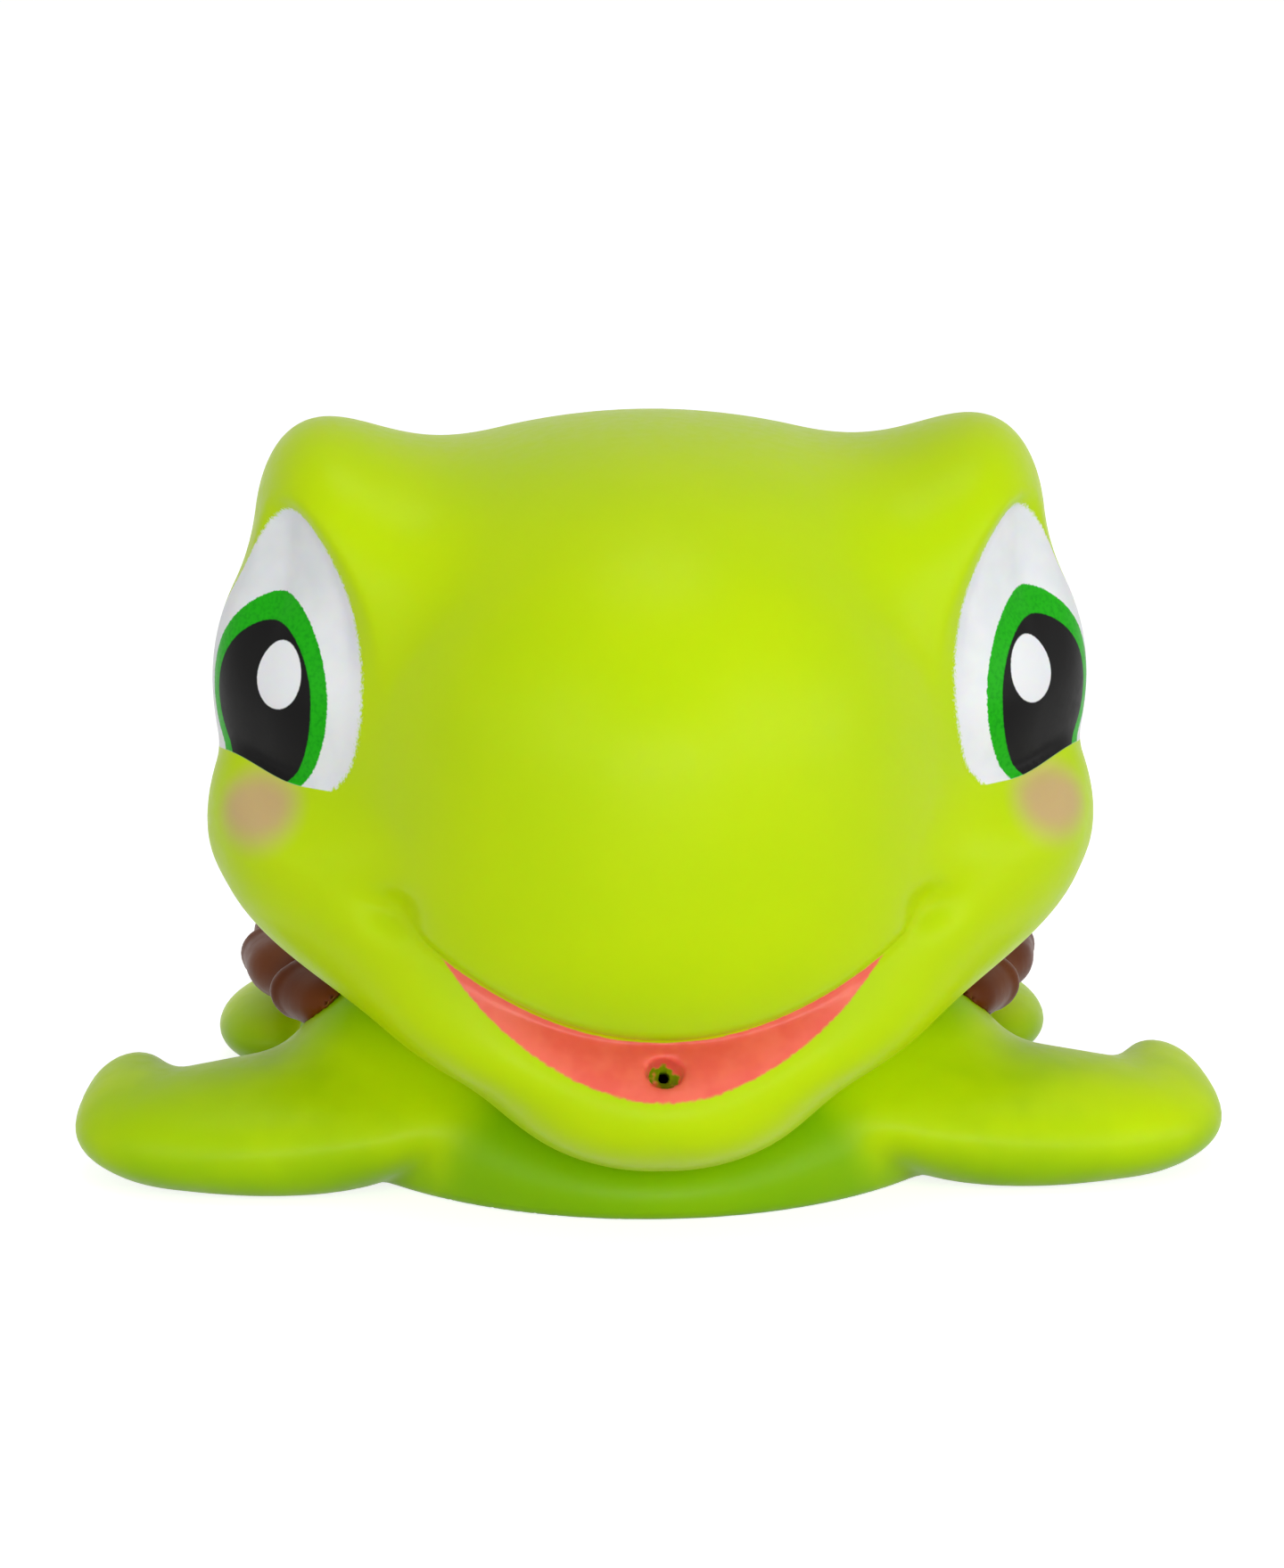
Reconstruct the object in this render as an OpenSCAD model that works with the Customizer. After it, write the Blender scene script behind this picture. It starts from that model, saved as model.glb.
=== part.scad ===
// Squeaky bath toy: a hollow soft vinyl sea turtle. The origin is on the table, under the
// middle of the toy; +X is the toy's left, -Y the way it looks and +Z up.

/* [Head] */
// Width across the cheeks
head_w = 88; // [82:1:96]
// Depth from the snout to the back of the head
head_d = 75; // [71:1:82]
// Height from the chin to the forehead
head_h = 70; // [66:1:76]
// Height of the middle of the head above the table
head_z = 40; // [38.5:0.5:44]
// How far the middle of the head lies in front of the origin
head_front = 18; // [15:0.5:21]
// Thickness of the head's vinyl wall
head_wall = 2.4; // [1.8:0.1:3.2]
// Diameter of the squirt hole in the mouth
squirt_d = 3.8; // [3:0.2:4.8]
// Height of the squirt hole above the table
squirt_z = 18.7; // [18.1:0.2:19.7]
// Extra thickness of the wall round the squirt hole
mouth_pad = 1.4; // [1:0.2:2]
// Upward slope of the squirt hole, in degrees
squirt_rise = 20; // [12:1:28]

/* [Body] */
// Width of the body without flippers
body_w = 75; // [71:1:80]
// Length of the body
body_l = 82; // [78:1:88]
// Height of the body at the shell's rim
body_h = 24; // [22:0.5:26]
// How far the middle of the body lies behind the origin
body_back = 7; // [5:0.5:9]
// Gap between the shell and the body's back at the rim
back_gap = 3; // [2.6:0.1:3.6]
// Thickness of the body's vinyl wall
body_wall = 2.4; // [1.8:0.1:3.2]

/* [Flippers] */
// Width across the front flippers
front_span = 116.4; // [108:1:128]
// Length of a front flipper from its leading to its trailing edge
front_chord = 22.4; // [19:0.5:26]
// Thickness of a front flipper
front_t = 10.4; // [9:0.2:12]
// How far the front flippers lie in front of the origin
front_ahead = 19; // [16:0.5:21]
// Width across the hind flippers
hind_span = 90; // [84:1:98]
// Length of a hind flipper
hind_chord = 26; // [22:0.5:30]
// Thickness of a hind flipper
hind_t = 8.8; // [7.6:0.2:10]
// How far the hind flippers lie behind the origin
hind_behind = 29.5; // [27:0.5:32]

/* [Shell] */
// Width of the brown shell over its rim
shell_w = 85.4; // [82:0.5:90]
// Length of the brown shell over its rim
shell_l = 87.4; // [84:0.5:92]
// Height of the shell's crown above its rim's middle
shell_rise = 30; // [28:0.5:34]
// Thickness of the shell's wall
shell_wall = 2.2; // [1.6:0.1:2.6]
// Half height of the swollen rim
rim_half = 4.1; // [3.4:0.1:4.8]
// Height of the rim's middle above the table
rim_z = 14.6; // [13.6:0.2:16]
// How far the middle of the shell lies behind the origin
shell_back = 12; // [11:0.5:13]
// Number of swollen scutes round the rim
rim_scutes = 22; // [16:2:26]
// Depth of the grooves between the scutes
scute_groove = 1.1; // [0.4:0.1:1.6]
// Diameter of the pegs that hold the shell
peg_d = 4; // [3:0.25:5]
// Spread between the pegs, side to side
peg_spread_x = 30; // [24:1:36]
// Spread between the pegs, front to back
peg_spread_y = 12; // [10:1:14]
// How far the front pegs lie behind the shell's middle
peg_back = 8; // [7:0.5:9]
// Length of the pegs below the shell's wall
peg_l = 9; // [8:0.5:11]

/* [Neck] */
// Diameter of the neck hole in the body
neck_d = 28; // [22:1:32]
// Forward lean of the neck, in degrees
neck_lean = 35; // [32:1:38]
// Height of the neck's middle above the table
neck_z = 24.2; // [23.2:0.2:25]
// How far the neck's middle lies in front of the origin
neck_front = 8; // [7:0.5:9]
// Width of the bead that snaps in behind the neck hole
bead_w = 2.4; // [1.6:0.2:3.2]
// Thickness of the bead
bead_t = 2.6; // [2:0.2:3.4]
// Thickness of the neck's tube wall
neck_wall = 2.2; // [1.6:0.2:3]

/* [Squeaker] */
// Outer diameter of the squeaker's housing
squeak_d = 16; // [13:0.5:20]
// Height of the squeaker's housing
squeak_h = 9; // [8:0.5:12]
// How far the squeaker lies behind the origin
squeak_back = 6; // [2:1:10]
// Wall of the housing
squeak_wall = 1.2; // [0.9:0.1:1.6]
// Width of the housing's snap collar
collar_w = 1.4; // [1:0.1:2]
// Thickness of the perforated cap
cap_t = 1.2; // [0.8:0.1:1.8]
// Diameter of each sound hole
sound_d = 1.6; // [1.2:0.1:2]
// Number of sound holes round the middle one
sound_holes = 6; // [5:1:8]
// Thickness of the reed's block
block_t = 1.8; // [1.4:0.1:2.4]
// Width of the air slot under the reed
slot_w = 1.6; // [1.2:0.1:2]
// Length of the air slot under the reed
slot_l = 6; // [5:0.2:7]
// Width of the reed
reed_w = 2.6; // [2.2:0.1:3.2]
// Length of the reed
reed_l = 10; // [9:0.2:11]
// Thickness of the reed
reed_t = 0.3; // [0.2:0.05:0.4]
// Length of the clamp that holds the reed
clamp_l = 2.4; // [2:0.1:3]
// Height of the clamp
clamp_h = 1.6; // [1.2:0.1:2.2]

/* [Fits] */
// Gap between the head and its seat on the body
seat_gap = 0.35; // [0.25:0.05:0.6]
// Radial running gap of the neck in its hole
neck_gap = 0.08; // [0.05:0.01:0.1]
// Gap between pieces that sit in each other
fit_gap = 0.05; // [0.02:0.01:0.1]
// Gap of the free reed over its block
reed_gap = 0.12; // [0.08:0.02:0.2]

/* [Hidden] */

// Overrun of every cut
over = 1;
// Size of the blocks that trim a form to a flat
trim = 200;
// How far a blown form runs past the flat that trims it
spare = 0.4;

head_at = [0, -head_front, head_z];
head_size = [head_w, head_d, head_h];
body_at = [0, body_back, 0];
body_size = [body_w, body_l, body_h];
front_at = [0, -front_ahead, 0];
front_size = [front_span, front_chord, front_t];
hind_at = [0, hind_behind, 0];
hind_size = [hind_span, hind_chord, hind_t];
neck_at = [0, -neck_front, neck_z];
neck_way = [0, -sin(neck_lean), cos(neck_lean)];
squeak_at = [0, squeak_back, 0];

// Rounded forms that melt into each other. Each has its middle and half sizes as shares of the
// piece's size, and its turn in degrees. Those off the middle are mirrored.
cranium_shares = [[0, 0.107, 0.057], [0.464, 0.393, 0.44], [0, 0, 0]];
snout_shares = [[0, -0.107, 0.1], [0.318, 0.393, 0.4], [0, 0, 0]];
muzzle_shares = [[0, -0.18, -0.115], [0.285, 0.27, 0.165], [0, 0, 0]];
forehead_shares = [[0, 0.08, 0.327], [0.394, 0.307, 0.18], [0, 0, 0]];
eye_shares = [[0.326, 0.02, 0.179], [0.164, 0.2, 0.223], [0, 0, 0]];
brow_shares = [[0.341, 0.033, 0.354], [0.089, 0.193, 0.191], [0, 20, 0]];
cheek_shares = [[0.316, -0.013, -0.047], [0.188, 0.195, 0.193], [0, 0, 0]];
jaw_shares = [[0, -0.147, -0.377], [0.177, 0.253, 0.121], [0, 0, 0]];
jowl_shares = [[0.199, -0.067, -0.201], [0.215, 0.253, 0.161], [0, -32, 0]];
lip_shares = [[0.15, -0.207, -0.296], [0.188, 0.152, 0.086], [0, -24, 20]];

torso_shares = [[0, -0.016, 0.167], [0.5, 0.516, 0.833], [0, 0, 0]];
chest_shares = [[0, -0.293, 0.417], [0.267, 0.207, 0.5], [0, 0, 0]];
shoulder_shares = [[0.34, -0.235, 0.358], [0.165, 0.16, 0.333], [0, 0, 0]];
hip_shares = [[0.36, 0.341, 0.188], [0.133, 0.11, 0.188], [0, 0, 0]];

arm_shares = [[0.256, 0.036, 0.673], [0.136, 0.5, 0.644], [8, 12, 4]];
blade_shares = [[0.377, 0.062, 0.433], [0.119, 0.509, 0.442], [5, 2, 7]];
tip_shares = [[0.446, 0.335, 0.587], [0.046, 0.379, 0.365], [16, -10, 14]];
paddle_shares = [[0.413, 0, 0.443], [0.096, 0.5, 0.523], [0, 0, 12]];

// Widths of the melts between forms, as shares of the head's and the body's width
crisp_share = 0.017;
brow_share = 0.04;
lip_share = 0.068;
soft_share = 0.105;
muzzle_share = 0.136;
limb_share = 0.08;
hem_share = 0.035;
// Widths of the melt between the snout and the cheeks: at the mouth, beside the eye, at the brow and
// behind the eye
mouth_share = 0.018;
valley_share = 0.062;
cheek_share = 0.125;
// Heights between which it softens, at the mouth, at the brow and behind, as shares of head_h
crease_shares = [-0.186, -0.014];
brow_crease_shares = [0.171, 0.371];
back_crease_shares = [-0.257, -0.057];
// How far ahead of the head's middle the front's widths are reached, as a share of head_d
front_crease_share = 0.16;

// The beak's edge: its height in the middle as a share of head_h, its bend up to the mouth's
// corners, its fall to the back, its front and its rounding as shares of the head's depth and width
lip_edge_share = -0.277;
lip_bend_share = 1.7;
lip_fall_share = 0.25;
lip_front_share = 0.393;
lip_round_share = 0.018;
// The beak's edge fades out from the first of these to the second, as shares of head_d
lip_end_shares = [-0.187, -0.027];
// How much the cheek's top is lowered near the snout, and over which parts of the head's width and
// height, as shares
lid_dip_share = 0.03;
lid_shares = [[0.489, 0.398], [-0.057, 0.057]];

// Middle and reach of the thicker wall behind the mouth, as shares of the head's size
mouth_shares = [[0, -0.29, -0.27], [0.42, 0.3, 0.22]];

// Places of the ray grids' middles, as shares of the piece's size
head_core_share = [0, 0, -0.03];
body_core_share = [0, 0, 0.5];
front_core_share = [0.36, 0, 0.56];
// Where the head's rings are crowded, as a share of the way from its top down
face_share = 0.62;
// Length of the body's grip on the squeaker, as a share of squeak_h
grip_share = 0.62;
// Where the squirt hole starts in front of the head's middle, as a share of head_d
squirt_share = 0.37;

// A turn about X, then Y, then Z, as a matrix
function spin(a) = let(cx = cos(a.x), sx = sin(a.x), cy = cos(a.y), sy = sin(a.y), cz = cos(a.z), sz = sin(a.z))
    [[cz * cy, cz * sy * sx - sz * cx, cz * sy * cx + sz * sx],
     [sz * cy, sz * sy * sx + cz * cx, sz * sy * cx - cz * sx],
     [-sy, cy * sx, cy * cx]];
function times(a, b) = [a.x * b.x, a.y * b.y, a.z * b.z];
function over_each(a, b) = [a.x / b.x, a.y / b.y, a.z / b.z];
function smooth(t) = let(u = min(max(t, 0), 1)) u * u * (3 - 2 * u);

// An egg from its shares: middle, half sizes and turn
function egg(shares, at, size) = [at + times(shares[0], size), times(shares[1], size), spin(shares[2])];
// Distance from a point to an egg's skin, below zero inside
function gap_to(p, e) = let(
    u = over_each((p - e[0]) * e[2], e[1]),
    k0 = norm(u),
    k1 = norm(over_each(u, e[1])))
    k1 == 0 ? -min(e[1]) : k0 * (k0 - 1) / k1;
// Two forms melted together, and one form kept inside another with a rounded edge
function melt(a, b, k) = let(h = max(k - abs(a - b), 0)) min(a, b) - h * h / (4 * k);
function keep(a, b, k) = -melt(-a, -b, k);
// Height of a point over the neck's seat
function over_seat(p) = (p - neck_at) * neck_way;

cranium = egg(cranium_shares, head_at, head_size);
snout = egg(snout_shares, head_at, head_size);
muzzle = egg(muzzle_shares, head_at, head_size);
forehead = egg(forehead_shares, head_at, head_size);
eye = egg(eye_shares, head_at, head_size);
brow = egg(brow_shares, head_at, head_size);
cheek = egg(cheek_shares, head_at, head_size);
jaw = egg(jaw_shares, head_at, head_size);
jowl = egg(jowl_shares, head_at, head_size);
lip = egg(lip_shares, head_at, head_size);
torso = egg(torso_shares, body_at, body_size);
chest = egg(chest_shares, body_at, body_size);
shoulder = egg(shoulder_shares, body_at, body_size);
hip = egg(hip_shares, body_at, body_size);
arm = egg(arm_shares, front_at, front_size);
blade = egg(blade_shares, front_at, front_size);
tip = egg(tip_shares, front_at, front_size);
paddle = egg(paddle_shares, hind_at, hind_size);
// The body's back fills the shell up to a gap, which is narrower at the crown
rim_x = shell_w / 2 - rim_half;
rim_y = shell_l / 2 - rim_half;
back = [[0, shell_back, rim_z], [rim_x, rim_y, shell_rise + back_gap / 2] - [1, 1, 1] * (shell_wall + back_gap),
    spin([0, 0, 0])];

soft = soft_share * head_w;
// Middle of the body's ray grid, and how far out its rays start
body_core = body_at + times(body_core_share, body_size);
body_reach = 0.8 * body_l;
head_reach = 0.7 * head_w;

// How far a value has come between two others, with soft ends
function between(t, ends) = smooth((t - ends[0]) / (ends[1] - ends[0]));
// Width of the melt between the snout and the cheeks
function crease_blend(p) = let(
    t = (p.z - head_z) / head_h,
    back = mouth_share + (cheek_share - mouth_share) * between(t, back_crease_shares),
    front = mouth_share + (valley_share - mouth_share) * between(t, crease_shares)
        + (cheek_share - valley_share) * between(t, brow_crease_shares))
    head_w * (back + (front - back) * between(-p.y - head_front, [0, front_crease_share * head_d]));

// How far a point is under the beak's edge
function under_lip(p) = let(
    edge = head_z + lip_edge_share * head_h + lip_bend_share * p.x * p.x / head_w
        - lip_fall_share * (p.y + head_front + lip_front_share * head_d),
    fade = between((p.y + head_front) / head_d, lip_end_shares))
    0.85 * (edge - p.z) - 0.25 * head_w * fade - max(abs(p.x) - head_w / 3, 0);
function cheek_gap(m) = gap_to(m, cheek) + lid_dip_share * head_w * between(m.x / head_w, lid_shares[0])
    * between((m.z - head_z) / head_h, lid_shares[1]);

function face_form(m) = keep(melt(melt(melt(gap_to(m, cranium), gap_to(m, snout), soft),
    gap_to(m, muzzle), muzzle_share * head_w), gap_to(m, forehead), soft), under_lip(m), lip_round_share * head_w);
function eye_form(m) = melt(melt(gap_to(m, eye), gap_to(m, brow), brow_share * head_w),
    cheek_gap(m), crisp_share * head_w);
function jaw_form(m) = melt(melt(gap_to(m, jaw), gap_to(m, lip), lip_share * head_w),
    gap_to(m, jowl), lip_share * head_w);
function head_form(p) = let(m = [abs(p.x), p.y, p.z])
    melt(face_form(m), melt(eye_form(m), jaw_form(m), soft), crease_blend(p));

function torso_form(p) = let(m = [abs(p.x), p.y, p.z], k = limb_share * body_w)
    melt(melt(melt(melt(gap_to(m, torso), gap_to(m, chest), k), gap_to(m, shoulder), k),
        gap_to(m, hip), k), gap_to(p, back), k);
function front_form(p) = let(k = limb_share * body_w)
    melt(melt(gap_to(p, arm), gap_to(p, blade), k), gap_to(p, tip), k);

// The head's underside is rounded off above the neck's seat, more so at the back
function head_hem(p) = head_w * hem_share * (1 + 2 * smooth((p.y + head_front) / head_front));
function head_skin(p) = keep(head_form(p), seat_gap - spare - over_seat(p), head_hem(p));
function mouth_wall(p) = mouth_pad * smooth(1 - norm(over_each(p - head_at - times(mouth_shares[0], head_size),
    times(mouth_shares[1], head_size))));
function head_hollow(p) = max(head_form(p) + head_wall + mouth_wall(p), seat_gap + head_wall - over_seat(p));
function body_skin(p) = keep(keep(torso_form(p), over_seat(p) - spare, body_w * hem_share), -p.z - spare, body_w * hem_share);
function body_hollow(p) = max(torso_form(p) + body_wall, over_seat(p) + body_wall, body_wall - p.z);

// Steps in along a ray from outside a form until it meets the skin
function shrink(form, from, way, reach, steps) = steps == 0 ? reach
    : shrink(form, from, way, reach - 0.9 * form(from + way * reach), steps - 1);

// A ray of the grid. Rings are crowded towards a share of the way from pole to pole, and rays
// towards the front.
function ray(i, j, rings, sides, aim, at, by) = let(
    lat = 180 * (i / rings - by * (sin(360 * (i / rings - at)) + sin(360 * at)) / (2 * PI)),
    lon = 360 * j / sides - by * 180 / PI * sin(360 * j / sides + 90))
    [sin(lat) * cos(lon), sin(lat) * sin(lon), cos(lat)] * aim;

// A closed skin blown out from a point inside it
module blown(form, from, reach, rings, sides, aim = spin([0, 0, 0]), at = 0.5, by = 0, steps = 16) {
    ring_points = [for (i = [1:rings - 1], j = [0:sides - 1])
        let(way = ray(i, j, rings, sides, aim, at, by)) from + way * shrink(form, from, way, reach, steps)];
    top_way = [0, 0, 1] * aim;
    points = concat(ring_points, [for (way = [top_way, -top_way]) from + way * shrink(form, from, way, reach, steps)]);
    last = (rings - 2) * sides;
    count = len(ring_points);
    // Each quad is halved the other way on the other side, so that both sides match
    sheets = [for (i = [0:rings - 3], j = [0:sides - 1])
        let(a = i * sides + j, b = i * sides + (j + 1) % sides, right = abs(4 * j + 2 - 2 * sides) > sides)
        each right ? [[a, b, a + sides], [b, b + sides, a + sides]]
            : [[a, b, b + sides], [a, b + sides, a + sides]]];
    caps = [for (j = [0:sides - 1]) let(k = (j + 1) % sides)
        each [[count, k, j], [count + 1, last + j, last + k]]];
    polyhedron(points, concat(sheets, caps));
}

module both_sides() {
    children();
    mirror([1, 0, 0]) children();
}

module at_neck() {
    translate(neck_at) rotate([neck_lean, 0, 0]) children();
}

module below_table() {
    translate([-trim / 2, -trim / 2, -trim]) cube(trim);
}

module over_neck_seat() {
    at_neck() translate([-trim / 2, -trim / 2, 0]) cube(trim);
}

module under_head_seat() {
    at_neck() translate([-trim / 2, -trim / 2, seat_gap - trim]) cube(trim);
}

// Height of the middle of the shell's wall over a spot
function shell_z(x, y) = rim_z + (shell_rise - shell_wall / 2)
    * sqrt(max(1 - pow(x / (rim_x - shell_wall / 2), 2) - pow((y - shell_back) / (rim_y - shell_wall / 2), 2), 0));

// Pegs under the shell, with their lower ends drop below its wall and their tops rise above it
module pegs(d, drop, rise) {
    for (x = [-1, 1] * peg_spread_x / 2, step = [0, 1]) {
        y = shell_back + peg_back + step * peg_spread_y;
        translate([x, y, shell_z(x, y) - drop]) cylinder(h = drop + rise, d = d, $fn = 32);
    }
}

module front_flipper() {
    core = front_at + times(front_core_share, front_size);
    blown(function (p) front_form(p), core, front_span / 4, 16, 20, spin([0, -90, 0]));
}

module hind_flipper() {
    blown(function (p) gap_to(p, paddle), paddle[0], hind_chord, 10, 14);
}

module squeaker_bore(d) {
    translate(squeak_at - [0, 0, over]) cylinder(h = squeak_h + 2 * over, d = d, $fn = 48);
}

module body_shell() {
    collar_h = squeak_h * grip_share;
    color("yellowgreen") difference() {
        union() {
            difference() {
                union() {
                    blown(function (p) body_skin(p), body_core, body_reach, 22, 44);
                    both_sides() {
                        front_flipper();
                        hind_flipper();
                    }
                }
                blown(function (p) body_hollow(p), body_core, body_reach, 14, 28);
            }
            translate(squeak_at) cylinder(h = collar_h, d = squeak_d + 2 * collar_w + 2 * body_wall, $fn = 48);
        }
        below_table();
        over_neck_seat();
        at_neck() translate([0, 0, -body_wall - over]) cylinder(h = body_wall + 2 * over, d = neck_d, $fn = 64);
        squeaker_bore(squeak_d);
        pegs(peg_d, peg_l + over, over);
    }
}

module head_shell() {
    core = head_at + times(head_core_share, head_size);
    plug_d = neck_d - 2 * neck_gap;
    bead_top = -body_wall - seat_gap;
    color("greenyellow") difference() {
        union() {
            difference() {
                blown(function (p) head_skin(p), core, head_reach, 36, 56, at = face_share, by = 0.2);
                under_head_seat();
                blown(function (p) head_hollow(p), core, head_reach, 20, 32, at = face_share, by = 0.25);
            }
            at_neck() {
                translate([0, 0, bead_top - bead_t]) cylinder(h = seat_gap + spare - bead_top + bead_t, d = plug_d, $fn = 64);
                translate([0, 0, bead_top - bead_t]) cylinder(h = bead_t, d1 = plug_d, d2 = plug_d + 2 * bead_w, $fn = 64);
            }
        }
        at_neck() translate([0, 0, bead_top - bead_t - over])
            cylinder(h = bead_t - bead_top + seat_gap + head_wall + 2 * over, d = plug_d - 2 * neck_wall, $fn = 64);
        squirt_bore();
    }
}

module squirt_bore() {
    reach = head_d / 3;
    translate([0, -head_front - head_d * squirt_share, squirt_z]) rotate([90 - squirt_rise, 0, 0])
        translate([0, 0, -reach / 2]) cylinder(h = reach, d = squirt_d, $fn = 32);
}

// How far a groove between two rim scutes draws the edge in, round the rim
function rim_pinch(a) = scute_groove * pow(1 - abs(sin(rim_scutes * a / 2)), 3);

// One section of the shell, from the middle of its crown out, round the rim and back inside
function shell_section(a) = let(
        pinch = rim_pinch(a),
        round_r = rim_half - pinch,
        crown = [for (i = [1:6]) let(t = i * 80 / 6) [sin(t), rim_z + shell_rise * cos(t), 0]],
        edge = [for (t = [55, 20, -15, -55]) [1, rim_z + round_r * sin(t), round_r * cos(t)]],
        foot = [[1, rim_z - rim_half * sin(55), -shell_wall]],
        inside = [for (i = [4:-1:1]) let(t = i * 80 / 4)
            [sin(t), rim_z + (shell_rise - shell_wall) * cos(t), -shell_wall * sin(t)]])
    concat(crown, edge, foot, inside);

module carapace_skin() {
    turns = rim_scutes * 4;
    sections = [for (j = [0:turns - 1]) shell_section(360 * j / turns)];
    n = len(sections[0]);
    rings = [for (j = [0:turns - 1], s = sections[j])
        let(a = 360 * j / turns)
        [(rim_x * s[0] + s[2]) * cos(a), shell_back + (rim_y * s[0] + s[2]) * sin(a), s[1]]];
    points = concat(rings, [[0, shell_back, rim_z + shell_rise], [0, shell_back, rim_z + shell_rise - shell_wall]]);
    top = len(rings);
    sheets = [for (j = [0:turns - 1], i = [0:n - 2])
        let(a = j * n + i, b = ((j + 1) % turns) * n + i)
        each [[a, b, a + 1], [b, b + 1, a + 1]]];
    caps = [for (j = [0:turns - 1])
        let(a = j * n, b = ((j + 1) % turns) * n)
        each [[top, b, a], [top + 1, a + n - 1, b + n - 1]]];
    polyhedron(points, concat(sheets, caps));
}

module carapace() {
    color("saddlebrown") {
        difference() {
            carapace_skin();
            over_neck_seat();
            blown(function (p) torso_form(p) - 2 * fit_gap, body_core, body_reach, 22, 44);
        }
        pegs(peg_d - 2 * fit_gap, peg_l, 0);
    }
}

// Heights in the squeaker, from its sound holes inwards
cap_z = cap_t / 2;
block_z = cap_z + cap_t + clamp_h + reed_gap + reed_t + 2 * cap_t;
squeak_in_d = squeak_d - 2 * squeak_wall;

module squeaker_housing() {
    color("whitesmoke") translate(squeak_at) difference() {
        union() {
            cylinder(h = squeak_h, d = squeak_d - 2 * fit_gap, $fn = 40);
            translate([0, 0, squeak_h * grip_share + fit_gap])
                cylinder(h = squeak_wall, d = squeak_d + 2 * collar_w, $fn = 40);
        }
        translate([0, 0, -over]) cylinder(h = block_z + over, d = squeak_in_d, $fn = 40);
        cylinder(h = squeak_h + over, d = squeak_in_d - 2 * squeak_wall, $fn = 40);
    }
}

module squeaker_cap() {
    ring_r = squeak_in_d / 3.4;
    color("white") translate(squeak_at + [0, 0, cap_z]) difference() {
        cylinder(h = cap_t, d = squeak_in_d - 2 * fit_gap, $fn = 48);
        for (a = [0:360 / sound_holes:359])
            rotate(a) translate([ring_r, 0, -over]) cylinder(h = cap_t + 2 * over, d = sound_d, $fn = 16);
        translate([0, 0, -over]) cylinder(h = cap_t + 2 * over, d = sound_d, $fn = 16);
    }
}

module reed_block() {
    color("gainsboro") translate(squeak_at + [0, 0, block_z - block_t]) difference() {
        cylinder(h = block_t - fit_gap, d = squeak_in_d - 2 * fit_gap, $fn = 48);
        translate([-slot_w / 2, -slot_l / 2 + clamp_l / 2, -over]) cube([slot_w, slot_l, block_t + 2 * over]);
    }
}

module reed() {
    color("silver") translate(squeak_at + [-reed_w / 2, -reed_l / 2, block_z - block_t - reed_gap - reed_t])
        cube([reed_w, reed_l, reed_t]);
}

module reed_clamp() {
    color("gainsboro") translate(squeak_at + [0, -reed_l / 2, block_z - block_t]) difference() {
        translate([-reed_w / 2 - squeak_wall, 0, -clamp_h]) cube([reed_w + 2 * squeak_wall, clamp_l, clamp_h]);
        translate([-reed_w / 2 - reed_gap, -over, -2 * reed_gap - reed_t])
            cube([reed_w + 2 * reed_gap, clamp_l + 2 * over, 2 * reed_gap + reed_t + over]);
    }
}

body_shell();
head_shell();
carapace();
squeaker_housing();
squeaker_cap();
reed_block();
reed();
reed_clamp();
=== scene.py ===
"""Squeaky bath toy, a soft vinyl sea turtle. Forms are in millimetres, objects in metres."""

import math

import bpy
import numpy as np
from mathutils import Matrix, Vector


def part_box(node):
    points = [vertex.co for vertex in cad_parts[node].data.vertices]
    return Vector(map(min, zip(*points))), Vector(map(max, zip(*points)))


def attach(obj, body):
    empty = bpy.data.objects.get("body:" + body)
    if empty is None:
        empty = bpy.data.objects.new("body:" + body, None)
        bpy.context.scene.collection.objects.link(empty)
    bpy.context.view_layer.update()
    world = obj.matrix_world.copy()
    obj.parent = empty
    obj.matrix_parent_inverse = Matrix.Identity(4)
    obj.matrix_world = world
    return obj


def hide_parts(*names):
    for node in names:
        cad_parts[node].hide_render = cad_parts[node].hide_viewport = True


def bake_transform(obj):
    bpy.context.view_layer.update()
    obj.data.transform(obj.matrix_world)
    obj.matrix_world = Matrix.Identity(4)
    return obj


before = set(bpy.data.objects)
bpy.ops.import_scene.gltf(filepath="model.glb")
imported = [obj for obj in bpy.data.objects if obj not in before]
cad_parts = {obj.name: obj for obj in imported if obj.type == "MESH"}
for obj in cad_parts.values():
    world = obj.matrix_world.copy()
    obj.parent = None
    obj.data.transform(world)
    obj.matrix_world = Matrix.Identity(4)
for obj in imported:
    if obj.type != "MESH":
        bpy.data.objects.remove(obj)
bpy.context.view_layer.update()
MM = 0.001
bpy.context.scene.view_settings.view_transform = "Standard"

# Forms, as in the CAD model: middles and sizes in millimetres
HEAD_AT, HEAD_SIZE = np.array([0, -18.0, 40]), np.array([88, 75.0, 70])
BODY_AT, BODY_SIZE = np.array([0, 7.0, 0]), np.array([75, 82.0, 24])
FRONT_AT, FRONT_SIZE = np.array([0, -19.0, 0]), np.array([116.4, 22.4, 10.4])
HIND_AT, HIND_SIZE = np.array([0, 29.5, 0]), np.array([90, 26.0, 8.8])
NECK_AT, NECK_LEAN = np.array([0, -8.0, 24.2]), math.radians(35)
NECK_WAY = np.array([0, -math.sin(NECK_LEAN), math.cos(NECK_LEAN)])
NECK_D, NECK_GAP, NECK_WALL = 28.0, 0.08, 2.2
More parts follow.
